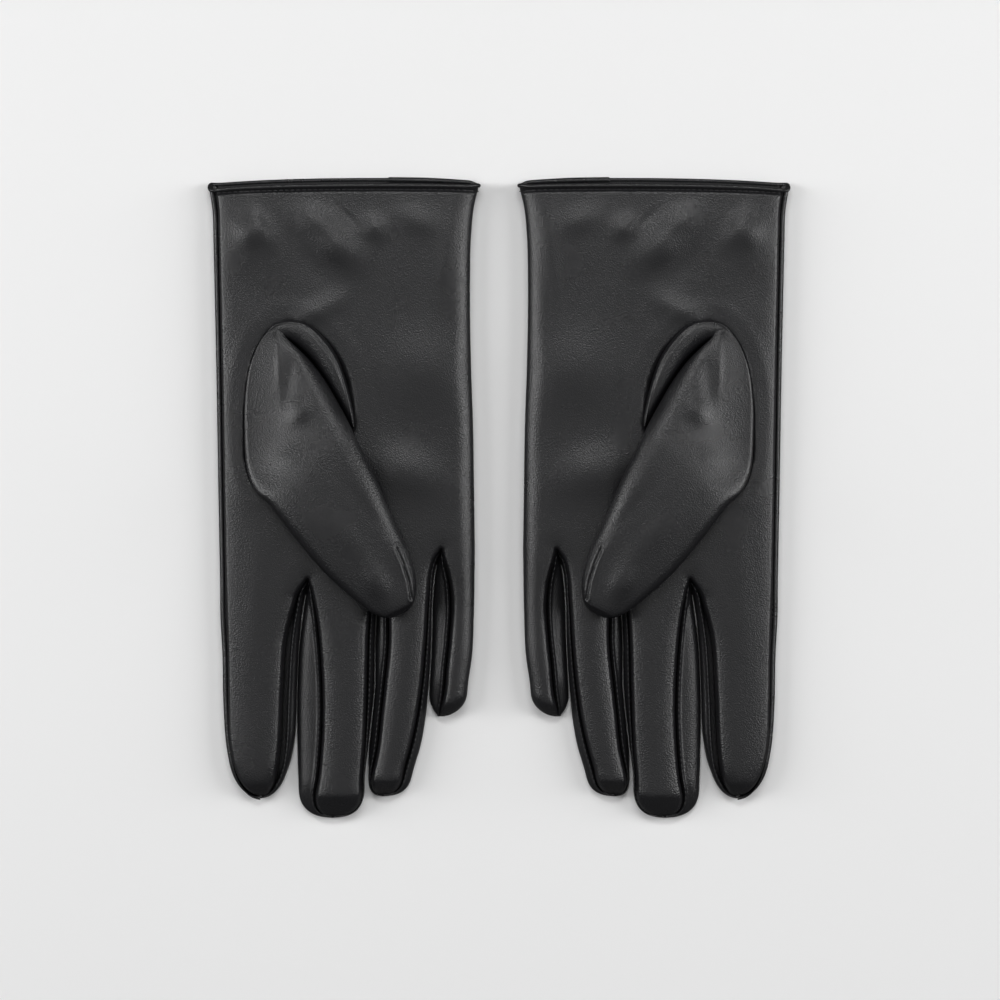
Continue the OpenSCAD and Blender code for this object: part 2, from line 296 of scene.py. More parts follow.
# How far the palm leather stands back from the strip beside it, in a deep groove
GROOVES = {("index", "in"): 1.9, ("middle", "out"): 0.35, ("middle", "in"): 0.3, ("ring", "out"): 0.4,
           ("ring", "in"): 0.3, ("little", "out"): 0.5}
groove_depth, groove_open = 2.8, 0.3


def kind(finger, side):
    """What closes that side of a finger: the fold, the side seam, or a strip from a fork."""
    value = FINGERS[finger][side]
    return value if value in ("fold", "side") else "fork"


def tip_y(finger):
    """y of a fingertip: the low end of its leather."""
    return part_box(f"left_{finger}_leather")[0][1] / MM


def finger_x(finger, line, y, inset=0.0):
    """x of one of a finger's lines at y. Near the tip, ended short by inset, the line turns in to the middle of the
    tip on a corner of that finger's radius and squareness: one less the n-th power of what is left of the radius,
    to the power 1/n, times the half width."""
    middle, radius, n = FINGERS[finger]["tip"]
    e = y - tip_y(finger)
    left = np.clip(1 - (e - inset) / radius, 0, 1)
    close = np.maximum(1 - left**n, 0) ** (1 / n)
    return corner + middle + (smooth_line(FINGERS[finger][line], e) - middle) * close


def groove(finger, side, y):
    """Width of the groove beside that side of the palm leather at y, closing at the fork and at the tip."""
    if (finger, side) not in GROOVES:
        return 0 * y
    top = FORKS[FINGERS[finger][side]][1]
    return GROOVES[finger, side] * ease((top - y) / 26) * ease((y - tip_y(finger)) / 15)


def sunk(finger, side, y):
    """Share of the groove's depth at y: all of it where the groove is wide enough."""
    return np.clip(groove(finger, side, y) / groove_open, 0, 1)


def palm_edge(finger, side, y, inset):
    """x of the palm leather's own edge at y: its seam's line, drawn in by the groove."""
    return finger_x(finger, f"palm_{side}", y, inset) + groove(finger, side, y) * (1 if side == "in" else -1)


def edge_of(finger, side, part):
    """Points along one edge of a finger's palm or sole, from its fork, or from the cuff where the side has none,
    to the tip."""
    what = kind(finger, side)
    inset = tip_inset[what] if part == "palm" else 0.0
    top = FORKS[FINGERS[finger][side]][1] if what == "fork" else edge_join[what]
    run = np.linspace(0, 1, 420) ** 2
    y = mix(tip_y(finger) + inset, top, run)
    x = palm_edge(finger, side, y, inset) if part == "palm" else finger_x(finger, f"sole_{side}", y)
    line = np.stack([x, y], -1)
    if what != "fork":
        above = np.linspace(top + 1, cuff_high[1], 140)
        edge = smooth_line(FOLD_EDGE if what == "fold" else INDEX_EDGE, above)
        inner = seam_inset if what == "side" and part == "palm" else 0.0
        line = np.concatenate([line, np.stack([corner + edge - inner, above], -1)])
    return line


def distance(x, y, line):
    """Distance from each (x, y) to the nearest of the line's stretches."""
    a, b = line[:-1], line[1:]
    step = b - a
    length2 = np.maximum((step**2).sum(1), 1e-12)
    best = np.full(np.shape(x), 1e9)
    for k in range(0, len(a), 40):
        ax, ay, sx, sy, l2 = (v[k:k + 40] for v in (a[:, 0], a[:, 1], step[:, 0], step[:, 1], length2))
        px, py = x[..., None] - ax, y[..., None] - ay
        t = np.clip((px * sx + py * sy) / l2, 0, 1)
        best = np.minimum(best, np.hypot(px - t * sx, py - t * sy).min(-1))
    return best


def seam_z(finger, side, y):
    """Height of that side's seam at y, lower at the fingertip."""
    return mix(3.6, seam_height[kind(finger, side)], ease((y - tip_y(finger)) / 16))


def palm_low(finger, side, y):
    """Height of the palm leather's edge on that side at y, lower where a groove runs beside it."""
    return seam_z(finger, side, y) - groove_depth * sunk(finger, side, y)


# How far above each fingertip its palm leather starts to drop: in a roll on the index and the little finger, and
# from a crease on the other two
TIP_CAPS = {"index": 5.5, "middle": 8.4, "ring": 5.4, "little": 5.0}
# Soft folds in the palm: x from the corner, y, direction in degrees, half width, half length, height
FOLDS = ((88.5, 103, 125, 6.5, 5.5, 1.7), (85, 106, 60, 3.2, 9, 0.8), (64, 108, 20, 5.5, 8, 1.5),
         (55, 97.5, 40, 6.5, 10, 2.3), (60, 90, 50, 8, 12, -0.7), (40.5, 105, 30, 4.2, 5, 1.3),
         (24, 108, 20, 5.0, 8, 0.9), (28, 10, 20, 9.0, 14, 2.2), (51.3, 110, 44, 0.8, 6, -0.9),
         (52.3, 110.8, 44, 0.8, 6, 0.6), (22, 50, 20, 14, 16, 1.7), (84, -27, 94, 6.0, 26, 0.5),
         (93, 84, 30, 8, 12, -0.5), (45, -8, 95, 7, 22, -0.5), (64, 72, 152, 4, 11, 1.2),
         (12, 98, 96, 3.0, 22, 0.6))


def folds(x, y, table, start=0.0):
    """Height at (x, y) of a table's soft folds: each is a bell across its width times a bell along its length, and
    its x is measured from start."""
    total = 0
    for fx, fy, angle, width, length, height in table:
        c, s = math.cos(math.radians(angle)), math.sin(math.radians(angle))
        along = (x - start - fx) * c + (y - fy) * s
        across = (y - fy) * c - (x - start - fx) * s
        total = total + height * bell(across / width) * bell(along / length)
    return total


# Seam of the thumb hole, round it, as (x from the corner, y)
HOLE = np.array(((90.7, 26), (89.9, 12), (86.3, 3), (69, 16), (48.6, 26.5), (49.3, 38.2), (52.1, 49.9),
                 (59.9, 61.6), (66.5, 66.6), (73.6, 68.8), (80.5, 66.3), (85.3, 59.8), (89.3, 47), (90.6, 37)))
hole_middle = np.array((71, 36))


def outside_hole(x, y):
    """Distance outside the thumb hole's seam, measured on the ray from the hole's middle, and negative inside."""
    rim = HOLE - hole_middle
    turn = np.linspace(-math.pi, math.pi, 361)
    angle, radius = np.arctan2(rim[:, 1], rim[:, 0]), np.hypot(rim[:, 0], rim[:, 1])
    order = np.argsort(angle)
    seam = np.interp(turn, angle[order], radius[order], period=2 * math.pi)
    for _ in range(3):
        seam[:-1] = (np.roll(seam[:-1], 3) + seam[:-1] + np.roll(seam[:-1], -3)) / 3
    seam[-1] = seam[0]
    dx, dy = x - corner - hole_middle[0], y - hole_middle[1]
    return np.hypot(dx, dy) - np.interp(np.arctan2(dy, dx), turn, seam)


def edge_rise(what, d):
    """How the palm leather rises to its full height at d mm from an edge: round a fold, in a short roll and a long
    slope from the side seam, or in two rolls and a slope from the gap between two fingers."""
    if what == "fold":
        return 0.88 * roll(d / 7.0) + 0.12 * ease(d / 12)
    if what == "side":
        return 0.56 * roll(d / 1.4) + 0.44 * roll(d / 14) ** 1.5
    return 0.62 * roll(d / 1.8) + 0.26 * roll(d / 5.5) + 0.12 * ease(d / 9)


def cuff_hem(x):
    """y of the hem stitches at x: the cuff's edge is lowest at its ends."""
    a = np.clip((x - corner) / 105, 0, 1)
    return 120.2 - 1.6 * a**4 - 0.6 * (1 - a) ** 6


def palm_z(finger, x, y, share):
    """Height of the palm leather over one finger's column: from the seams, share of the way across, up to the
    crown, with the folds, the faint ring and the sewn line round the thumb hole, the drop inside it, the dip at the
    hem, and the drop at the tip."""
    e = y - tip_y(finger)
    low = mix(palm_low(finger, "in", y), palm_low(finger, "out", y), share)
    rise = 1.0
    for side in ("in", "out"):
        rise = rise * edge_rise(kind(finger, side), distance(x, y, edge_of(finger, side, "palm")))
    cap = TIP_CAPS[finger]
    crease = np.clip((e - 0.8) / cap, 0, 1) ** 0.75 * 0.55 + 0.45 * roll((e - 0.8) / (1.5 * cap))
    tip = crease if finger in ("middle", "ring") else roll((e - 0.9) / cap)
    height = crown - 0.7 * ease((y - 96) / 26)
    z = low + (height - low) * rise * tip + folds(x, y, FOLDS, corner) * rise**3 * ease(e / 20)
    d = outside_hole(x, y)
    z = z + 0.22 * bell((d - 6.5) / 2.6) - 0.9 * bell(d / 0.5) - 4.5 * ease(-d / 2.4)
    return z - 1.1 * bell((y - cuff_hem(x)) / 0.6)


def sole_z(finger, x, y, share):
    """Height of the back leather: on the table, but for its edges, which turn up to the side strips, to the fold or
    to the welt, each in a roll."""
    z = table_gap + 0 * x
    for side in ("in", "out"):
        what = kind(finger, side)
        if what == "side":
            continue
        edge_z = seam_z(finger, side, y) if what == "fold" else 1.6
        width = 4.8 if what == "fold" else 2.4
        d = distance(x, y, edge_of(finger, side, "sole"))
        z = np.maximum(z, table_gap + (edge_z - table_gap) * (1 - roll(d / width)))
    return z


# The welt beside the side seam, as (outwards from the index edge, height), from its top edge down and under
WELT = np.array(((-2.3, 4.2), (-2.0, 5.1), (-1.5, 5.6), (-0.9, 5.6), (-0.35, 5.1), (0, 4.2), (-0.1, 3.2),
                 (-0.7, 2.1), (-1.7, 1.2), (-3.0, 0.5), (-4.6, 0.17)))
welt_under = -WELT[-1, 0]


def finger_rows(finger, part, rows=84):
    """Grid of a finger's palm or sole leather, from a straight line between its forks to the tip: x runs from the
    in line to the out line, and the rows are close together at both ends."""
    f = FINGERS[finger]
    share = close_ends(f["cols"])[None, :]
    ends = {}
    for side in ("in", "out"):
        what = kind(finger, side)
        top = FORKS[f[side]][1] if what == "fork" else edge_join[what]
        inset = tip_inset[what] if part == "palm" else 0.0
        ends[side] = (top, tip_y(finger) + inset + 0.05, inset)
    down = close_ends(rows)[:, None]
    y = mix(mix(ends["in"][0], ends["out"][0], share), mix(ends["in"][1], ends["out"][1], share), down)
    if part == "palm":
        x_in, x_out = (palm_edge(finger, side, y, ends[side][2]) for side in ("in", "out"))
    else:
        x_in, x_out = (finger_x(finger, f"sole_{side}", y) for side in ("in", "out"))
    if part == "sole" and f["out"] == "side":
        x_out = x_out - welt_under * np.clip((y - tip_y(finger)) / 14, 0, 1) ** 0.5
    x = mix(x_in, x_out, share)
    z = (palm_z if part == "palm" else sole_z)(finger, x, y, share)
    return np.stack([x, y, z], -1)


def cuff_y(x, z):
    """y of the trank's cuff edge: the back's edge lies a little beyond the palm's, and both drop at the ends."""
    a = np.clip((x - corner) / 105, 0, 1)
    palm = 121.6 - 1.8 * a**4 - 0.6 * (1 - a) ** 6
    back = 124.5 - 2.0 * a**4 - 1.4 * (1 - a) ** 6
    return mix(back, palm, ease((z - 1.5) / 6))


def hand_rows(finger, part, rows=130):
    """Grid of one finger's column of the hand, from the cuff to the finger's first row. Each of its columns keeps
    its share of the hand's width all the way up."""
    first = finger_rows(finger, part)[0]
    share = close_ends(FINGERS[finger]["cols"])
    inner = (seam_inset if part == "palm" else welt_under)
    low_in, low_out = smooth_line(FOLD_EDGE, first[:, 1]), smooth_line(INDEX_EDGE, first[:, 1]) - inner
    across = (first[:, 0] - corner - low_in) / (low_out - low_in)
    down = np.linspace(0, 1, rows)[:, None]
    down = mix(down, close_ends(rows)[:, None], 0.75)
    guess_x = corner + mix(smooth_line(FOLD_EDGE, 120), smooth_line(INDEX_EDGE, 120), across)
    edge_z = 7.0 * np.ones_like(across) if part == "palm" else np.zeros_like(across)
    if finger == "little":
        edge_z = mix(4.8, edge_z, ease((guess_x - corner) / 6))
    y = mix(cuff_y(guess_x, edge_z), first[:, 1], down)
    x_in = corner + smooth_line(FOLD_EDGE, y)
    x_out = corner + smooth_line(INDEX_EDGE, y) - inner
    x = mix(x_in, x_out, across)
    z = (palm_z if part == "palm" else sole_z)(finger, x, y, share[None, :])
    grid = np.stack([x, y, z], -1)
    grid[-1] = first
    return grid


def welt_rows(y, outline, tip=None):
    """Grid of the welt: its profile set against the outline at each y, narrowing to a third at a fingertip."""
    close = np.ones_like(y) if tip is None else np.clip((y - tip) / 14, 0.1, 1) ** 0.5
    x = outline[:, None] + WELT[None, :, 0] * close[:, None]
    z = mix(mix(1.5, 3.0, np.clip((WELT[:, 1] - 1) / 3, 0, 1))[None, :], WELT[None, :, 1], close[:, None])
    return np.stack([x, np.repeat(y[:, None], len(WELT), 1), z], -1)


columns = {(finger, part): hand_rows(finger, part) for finger in FINGERS for part in ("palm", "sole")}
palm, back = (np.concatenate([columns["little", part]] +
                             [columns[f, part][:, 1:] for f in ("ring", "middle", "index")], 1)
              for part in ("palm", "sole"))
edge_y = back[:, -1, 1]
welt = welt_rows(edge_y, corner + smooth_line(INDEX_EDGE, edge_y))
welt[:, :6, 1] += (palm[:, -1, 1] - edge_y)[:, None] * np.clip((WELT[:6, 1] - 3) / 2, 0, 1)
trank = np.concatenate([welt[:, :-1], back[:, ::-1], palm[:, 1:]], 1)
on_hand(both_gloves("trank", [skin_of(trank)], black_leather, "trank"))

# ---- Finger leathers ----
# The trank runs on into four fingers. Each is a palm side and a back side, joined round the fold on the little
# finger and along the welt on the index finger.


def on_finger(made):
    """Each glove's piece has its place baked into its mesh, and stays where it lies."""
    for hand, piece in made.items():
        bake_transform(piece)


for finger in FINGERS:
    top, sole = finger_rows(finger, "palm"), finger_rows(finger, "sole")
    if finger == "little":
        shapes = [skin_of(np.concatenate([sole[:, ::-1], top[:, 1:]], 1))]
    elif finger == "index":
        y = sole[:, -1, 1]
        side = welt_rows(y, finger_x("index", "sole_out", y), tip_y("index"))
        shapes = [skin_of(top), skin_of(np.concatenate([side[:, :-1], sole[:, ::-1]], 1))]
    else:
        shapes = [skin_of(top), skin_of(sole[:, ::-1])]
    on_finger(both_gloves(f"{finger}_leather", shapes, black_leather, f"{finger}_leather"))

# ---- Strips between the fingers ----
# Fourchettes: strips of the same skin sewn in between the palm and the back of each finger. Each stands up as a
# small sewn lip beside the palm leather, then falls in a shallow curve to the back.

strip_leather = leather("black_strip_leather", (0.0090, 0.0090, 0.0101), 0.31, 0.68)
STRIPS = {"index_fourchette": ("index", "in"), "middle_index_fourchette": ("middle", "out"),
          "middle_ring_fourchette": ("middle", "in"), "ring_middle_fourchette": ("ring", "out"),
          "ring_little_fourchette": ("ring", "in"), "little_fourchette": ("little", "out")}
lip_out, lip_height = 0.8, 1.15


def strip_edges(finger, side, rows=110):
    """y of a strip's rows, and x of the palm seam and the sole edge there."""
    inset = tip_inset["fork"]
    y = mix(FORKS[FINGERS[finger][side]][1] - 0.1, tip_y(finger) + 0.02, close_ends(rows))
    seam = finger_x(finger, f"palm_{side}", np.maximum(y, tip_y(finger) + inset), inset)
    return y, seam, finger_x(finger, f"sole_{side}", y)


def strip_rows(finger, side):
    """Grid of a strip: across it the height falls along a rounded corner, one less t to the power 2.2, all to the
    power 1/2.2, and the lip is a bell of height beside the seam. The columns at the seam are tucked under the palm
    leather, lower where the groove is, and the last one is turned in above the back."""
    way = 1 if side == "out" else -1
    y, seam, sole = (v[:, None] for v in strip_edges(finger, side))
    width = np.maximum((sole - seam) * way, 0.02)
    scale = np.clip(width / 3.5, 0.12, 1)
    t = close_ends(26)[None, :]
    top = seam_z(finger, side, y) - 0.7
    lip = lip_height * scale * bell((width * t - lip_out * scale) / (0.55 * scale))
    z = mix(1.1, top, (1 - t**2.2) ** (1 / 2.2)) + lip
    x = seam + way * width * t
    floor = np.maximum(top - 1.0 - 0.7 * groove_depth * sunk(finger, side, y), 1.5)
    back_off = groove(finger, side, y)
    tuck = [np.stack([seam - way * (back_off * a + b), y, floor + c], -1)
            for a, b, c in ((1, 1.1, -0.6), (1, 0.2, -0.1), (0.5, 0.15, 0), (0, 0.15, 0.3))]
    under = np.stack([sole - way * 0.8 * scale, y, 0 * y + 0.5], -1)
    grid = np.concatenate([*tuck, np.stack([x, y + 0 * x, z], -1), under], 1)
    return grid if way > 0 else grid[:, ::-1]


for name, (finger, side) in STRIPS.items():
    made = both_gloves(name, [skin_of(strip_rows(finger, side), 0.5)], strip_leather, name)
    on_finger(made)

# ---- Forks ----
# Where two strips meet at the root of two fingers, they are one Y of leather: a small web that falls from the
# crotch to the back between them.

web_length = 6.0


def web_rows(fork):
    """Grid of a web: a trough that widens as it falls, with its sides turned up along a parabola."""
    fx, fy = FORKS[fork]
    down = np.linspace(0, 1, 16)[:, None]
    across = np.linspace(-1, 1, 13)[None, :]
    half = 0.5 + 1.3 * down
    z = mix(5.2, 1.2, down**0.7) + 0.9 * across**2
    x = corner + fx + half * across + 0.06 * web_length * down
    y = fy + 0.2 - web_length * down - 0.6 * (1 - across**2) * (1 - down)
    return np.stack([x, y, z + 0 * x], -1)


for fork in FORKS:
    made = both_gloves(f"{fork}_fork", [skin_of(web_rows(fork), 0.5)], strip_leather,
                       f"{fork}_fork")
    on_hand(made)

# ---- Thumb ----
# A stall of its own, sewn into a hole in the palm. It rises from the hole's outer side and lies folded over the
# palm and the roots of the fingers.

# Stations along the thumb, root to tip: outer edge x, y; inner edge x, y; crown height; outer edge height; inner
# edge height; underside height; share of the width in each edge's roll, outer and inner
THUMB = np.array((
    (88.3, 66.4, 84.6, 65.6, 10.5, 10.2, 10.4, 8.0, 0.50, 0.50),
    (93.0, 60.9, 82.6, 62.3, 12.0, 10.0, 11.0, 8.0, 0.50, 0.40),
    (97.2, 50.5, 77.4, 57.4, 13.6, 9.8, 11.4, 8.0, 0.50, 0.24),
    (98.9, 38.2, 72.6, 52.4, 15.0, 9.8, 11.4, 8.0, 0.50, 0.20),
    (99.1, 26.0, 67.4, 45.4, 16.6, 10.0, 11.4, 8.0, 0.50, 0.18),
    (98.2, 12.0, 62.8, 37.6, 18.4, 10.8, 12.4, 8.6, 0.46, 0.18),
    (94.5, 2.6, 58.7, 30.2, 20.2, 13.2, 14.4, 10.5, 0.38, 0.20),
    (88.5, -3.2, 55.2, 22.8, 21.2, 15.0, 15.2, 11.6, 0.34, 0.20),
    (78.8, -15.9, 48.0, 8.4, 21.4, 15.4, 15.2, 11.9, 0.34, 0.20),
    (68.0, -28.6, 41.0, -8.0, 21.0, 15.4, 15.2, 12.0, 0.34, 0.22),
    (57.4, -38.4, 35.2, -20.6, 20.4, 15.4, 15.2, 12.1, 0.32, 0.22),
    (51.0, -43.4, 32.2, -31.0, 19.6, 15.4, 15.2, 12.1, 0.30, 0.22),
    (44.8, -47.8, 31.4, -42.5, 18.8, 15.2, 15.0, 12.2, 0.30, 0.22)))
thumb_tip = np.array((39.4, -45.8))
top_cols, under_cols = 84, 26
# The crease where the thumb's end turns down, as a point on it and the direction across it, and the seam that
# comes up over the inner edge to the tip
CAP_CREASE = (np.array((39.5, -42.9)), np.array((-0.447, -0.894)))
TIP_SEAM = np.array(((39.6, -19.5), (39.0, -21.1), (37.2, -25.0), (35.0, -32.0), (33.9, -39.0)))

# Soft folds on the thumb: x, y, direction in degrees, half width, half length, height
THUMB_FOLDS = ((85.5, 51, 88, 1.5, 11, 0.65), (81.5, 46, 96, 3.0, 11, -0.8), (78.5, 33, 130, 4.5, 6, 1.7),
               (84, 15, 160, 4.5, 6, 1.7), (90, 32, 80, 5.0, 18, -0.4), (66, 22, 60, 8, 14, -0.5),
               (60, -14, 48, 5.0, 18, 0.8), (72, -2, 50, 6.0, 14, -0.5), (47, -33, 62, 4.5, 8, 1.3),
               (93.5, 8, 60, 2.5, 6, 0.6), (50, -6, 48, 3.0, 18, -0.3))


def at_stations(table, s):
    """The table's columns at places s between its rows, each a smooth line through its values."""
    return np.stack([smooth_line(list(enumerate(table[:, k])), s) for k in range(table.shape[1])], -1)[:, None, :]


def thumb_rows(rows=150):
    """Rings of the thumb. Over the top, the height rises to the crown: in a roll from the inner edge and from the
    free part of the outer edge, and in a long soft slope where the outer edge is sewn to the palm. Underneath, it
    falls in a roll to the underside. The last station's rings close in on the tip on a rounded corner. The end
    turns down beyond a crease, and the tip seam is a groove between two ridges."""
    last = len(THUMB) - 1
    s = last * (1 - (1 - np.linspace(0, 1, rows)) ** 1.6)
    v = at_stations(THUMB, s)
    left = np.clip(s - (last - 1.0), 0, 1.0)[:, None]
    close = np.maximum(1 - left**2.8, 0) ** (1 / 2.8)
    close_z = np.maximum(1 - left**5, 0) ** (1 / 2)
    mid = np.stack([mix(mix(v[..., 0], v[..., 2], 0.5), thumb_tip[0], left**2),
                    mix(mix(v[..., 1], v[..., 3], 0.5), thumb_tip[1], left**2)], -1)
    outer = mid + (v[..., 0:2] - mid) * close[..., None]
    inner = mid + (v[..., 2:4] - mid) * close[..., None]
    u = close_ends(top_cols)[None, :]
    top_xy = mix(inner, outer, u[..., None])
    edge = mix(v[..., 6], v[..., 5], u)
    sewn = 1 - ease((s[:, None] - 5) / 3)
    soft = 0.25 * roll((1 - u) / 0.05) + 0.75 * ease((1 - u) / 0.9)
    free = mix(roll((1 - u) / 0.10), roll((1 - u) / (v[..., 8] + 0.15)) ** 1.3, 0.55)
    rise = roll(u / v[..., 9]) * mix(free, soft, sewn)
    top_z = edge + (v[..., 4] - edge) * rise * close_z
    top_z = top_z + folds(top_xy[..., 0], top_xy[..., 1], THUMB_FOLDS) * rise**2 * close_z
    beyond = (top_xy - CAP_CREASE[0]) @ CAP_CREASE[1]
    top_z = top_z - 1.5 * np.clip(beyond - 0.6, 0, 2.4) * close_z
    d = distance(top_xy[..., 0], top_xy[..., 1], TIP_SEAM)
    top_z = top_z - 0.7 * bell(d / 0.5) + 0.3 * bell((d - 1.1) / 0.6)
    w = np.linspace(0, 1, under_cols + 2)[None, 1:-1]
    low_xy = mix(outer, inner, w[..., None])
    edge = mix(v[..., 5], v[..., 6], w)
    low_z = edge - (edge - v[..., 7]) * roll(w / 0.3) * roll((1 - w) / 0.3) * close_z
    return np.concatenate([np.concatenate([top_xy, top_z[..., None]], -1),
                           np.concatenate([low_xy, low_z[..., None]], -1)], 1)


def on_thumb(made):
    """Each glove's piece has its place baked into its mesh, and stays where it lies."""
    for hand, piece in made.items():
        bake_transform(piece)


on_thumb(both_gloves("thumb_leather", [tube_of(thumb_rows())], black_leather, "thumb_leather"))

# ---- Thumb gusset ----
# The roll of leather on the palm side of the thumb hole. It is cut in one with the thumb's root and parts from the
# thumb along a deep crease.

# Stations along the gusset, top to bottom: crease x, y; outer seam x, y; crown height; crease height
GUSSET = np.array((
    (88.2, 61.6, 91.4, 64.6, 10.0, 9.8), (84.4, 61.6, 87.4, 68.4, 11.2, 8.4), (81.2, 60.8, 80.8, 69.6, 12.8, 7.8),
    (77.0, 57.8, 74.2, 68.0, 14.0, 7.8), (72.3, 52.9, 68.2, 62.8, 14.7, 8.2), (67.9, 46.5, 63.1, 55.4, 14.8, 8.8),
    (64.0, 40.0, 59.9, 47.2, 14.2, 9.2), (60.8, 34.2, 57.6, 38.6, 13.0, 9.2), (58.6, 29.8, 56.4, 32.2, 11.8, 8.9),
    (57.2, 27.3, 56.2, 28.0, 10.6, 8.4)))


def gusset_rows(rows=90, cols=40):
    """Grid of the gusset: across it the height goes up from the outer seam to the crown and down to the crease,
    each in a roll, and on under the thumb, with a fine raised line beside the seam."""
    s = np.linspace(0, len(GUSSET) - 1, rows)
    v = at_stations(GUSSET, s)
    u = np.linspace(0, 1, cols)[None, :]
    x, y = mix(v[..., 2], v[..., 0], u), mix(v[..., 3], v[..., 1], u)
    width = np.hypot(v[..., 2] - v[..., 0], v[..., 3] - v[..., 1])
    base = mix(9.2, v[..., 5], u)
    rise = mix(0.5 * roll(u / 0.12), roll(u / 0.45), 0.7) * roll((1 - u) / 0.7) ** 1.15
    z = base + (v[..., 4] - base) * rise
    z = z + 0.35 * np.clip(width / 6, 0, 1) * bell((u * width - 1.3) / 0.45)
    grid = np.stack([x, y, z], -1)
    away = grid[:, -1:] - grid[:, -6:-5]
    tuck = grid[:, -1:] + away / np.linalg.norm(away, axis=2, keepdims=True) * 2.5 * (1, 1, 0.5)
    return np.concatenate([grid, tuck], 1)


on_hand(both_gloves("thumb_gusset", [skin_of(gusset_rows())], black_leather, "thumb_gusset"))

# ---- Cuff binding ----
# A narrow strip of leather folded over the cuff's edge all the way round, with one end lapped over the other on
# the back.

bind_half = 0.82
lap_x = 43.0


def run_along(path):
    """Distance along a path at each of its points."""
    return np.concatenate([[0], np.cumsum(np.linalg.norm(np.diff(path, axis=0), axis=1))])


def binding_rows(points=420, around=16):
    """Rings of the binding: a circle carried along the trank's cuff edge, which is evened out by averaging each
    point with its neighbours. It is thicker on the lapped end."""
    edge = trank[0, 2:-2]
    closed = np.concatenate([edge, edge[:1]])
    run = run_along(closed)
    even = np.linspace(0, run[-1], points, endpoint=False)
    path = np.stack([np.interp(even, run, closed[:, k]) for k in range(3)], -1)
    path[:, 2] = np.maximum(path[:, 2] - 0.25, bind_half + 0.42)
    for _ in range(6):
        path = (np.roll(path, 1, 0) + 2 * path + np.roll(path, -1, 0)) / 4
    along = np.roll(path, -1, 0) - np.roll(path, 1, 0)
    along[:, 1] = 0
    along /= np.linalg.norm(along, axis=1, keepdims=True)
    out = np.cross(along, (0, 1, 0))
    lapped = (path[:, 2] < 2.2) & (path[:, 0] < lap_x)
    half = bind_half + np.where(lapped, 0.35 * np.clip((path[:, 0] - corner) / 20, 0, 1), 0)
    turn = np.linspace(0, 2 * math.pi, around, endpoint=False)[None, :, None]
    return path[:, None] + (out[:, None] * np.cos(turn) + (0, 1, 0) * np.sin(turn)) * half[:, None, None]


on_hand(both_gloves("cuff_binding", [tube_of(binding_rows(), True)], black_leather, "cuff_binding"))

# ---- Stitching ----
# Black thread: a row of small stitches that holds the binding on the palm side, one along the side seam, and one
# along the lip of each strip.


def thread_finish():
    """Waxed black thread: a soft sheen over a fine twist, drawn as waves of bump."""
    mat, nodes, links, shader, place = new_finish("black_thread", Base_Color=(0.018, 0.018, 0.02, 1),
                                                  Roughness=0.5, Sheen_Weight=0.15)
    twist = nodes.new("ShaderNodeTexWave")
    links.new(place, twist.inputs["Vector"])
    twist.bands_direction = "DIAGONAL"
    twist.inputs["Scale"].default_value = 1500
    raise_surface(nodes, links, shader, twist.outputs["Fac"], 0.4, 0.0001)
    return mat


black_thread = thread_finish()


def stitch_run(path, length=1.3, pitch=2.1, radius=0.24):
    """Stitches along a path of points: capsules of 36 faces, each laid along the path with a gap after it."""
    run = run_along(path)
    count = int(run[-1] / pitch)
    middle = (np.arange(count) + 0.5) * run[-1] / count

    def at(d):
        return np.stack([np.interp(d, run, path[:, k]) for k in range(3)], -1)

    centre = at(middle)
    along = at(middle + 0.3) - at(middle - 0.3)
    along /= np.linalg.norm(along, axis=1, keepdims=True)
    side = np.cross(along, (0, 0, 1))
    side /= np.linalg.norm(side, axis=1, keepdims=True)
    up = np.cross(side, along)
    reach = (np.array((-0.5, -0.36, 0, 0.36, 0.5)) * length)[None, :, None, None]
    girth = (np.array((0.35, 0.9, 1, 0.9, 0.35)) * radius)[None, :, None, None]
    turn = np.linspace(0, 2 * math.pi, 6, endpoint=False)[None, None, :, None]
    along, side, up, centre = (v[:, None, None] for v in (along, side, up, centre))
    rings = centre + along * reach + (side * np.cos(turn) + up * np.sin(turn)) * girth
    one, groups = tube_of(rings[0])
    ends = np.stack([rings[:, 0].mean(1), rings[:, -1].mean(1)], 1)
    points = np.concatenate([rings.reshape(count, -1, 3), ends], 1).reshape(-1, 3)
    shift = (np.arange(count) * len(one))[:, None, None]
    return points, [(group[None] + shift).reshape(-1, group.shape[1]) for group in groups]


def palm_point(x, y, lift):
    """Points on the trank's palm nearest to (x, y), raised by lift."""
    flat = palm.reshape(-1, 3)
    near = np.argmin((flat[None, :, 0] - x[:, None]) ** 2 + (flat[None, :, 1] - y[:, None]) ** 2, 1)
    return np.stack([x, y, flat[near, 2] + lift], -1)


hem_x = np.linspace(corner + 2.5, corner + 102, 120)
hem_path = palm_point(hem_x, cuff_hem(hem_x), 0.05)
on_hand(both_gloves("hem_stitching", [stitch_run(hem_path, 1.4, 2.2)], black_thread, "hem_stitching"))

seam_y = np.linspace(palm[4, -1, 1], palm[-1, -1, 1], 160)
seam_x = corner + smooth_line(INDEX_EDGE, seam_y) - seam_inset - 0.15
seam_path = np.stack([seam_x, seam_y, 0 * seam_y + 4.9], -1)
on_hand(both_gloves("side_seam", [stitch_run(seam_path, 1.7, 2.0)], black_thread, "side_seam"))

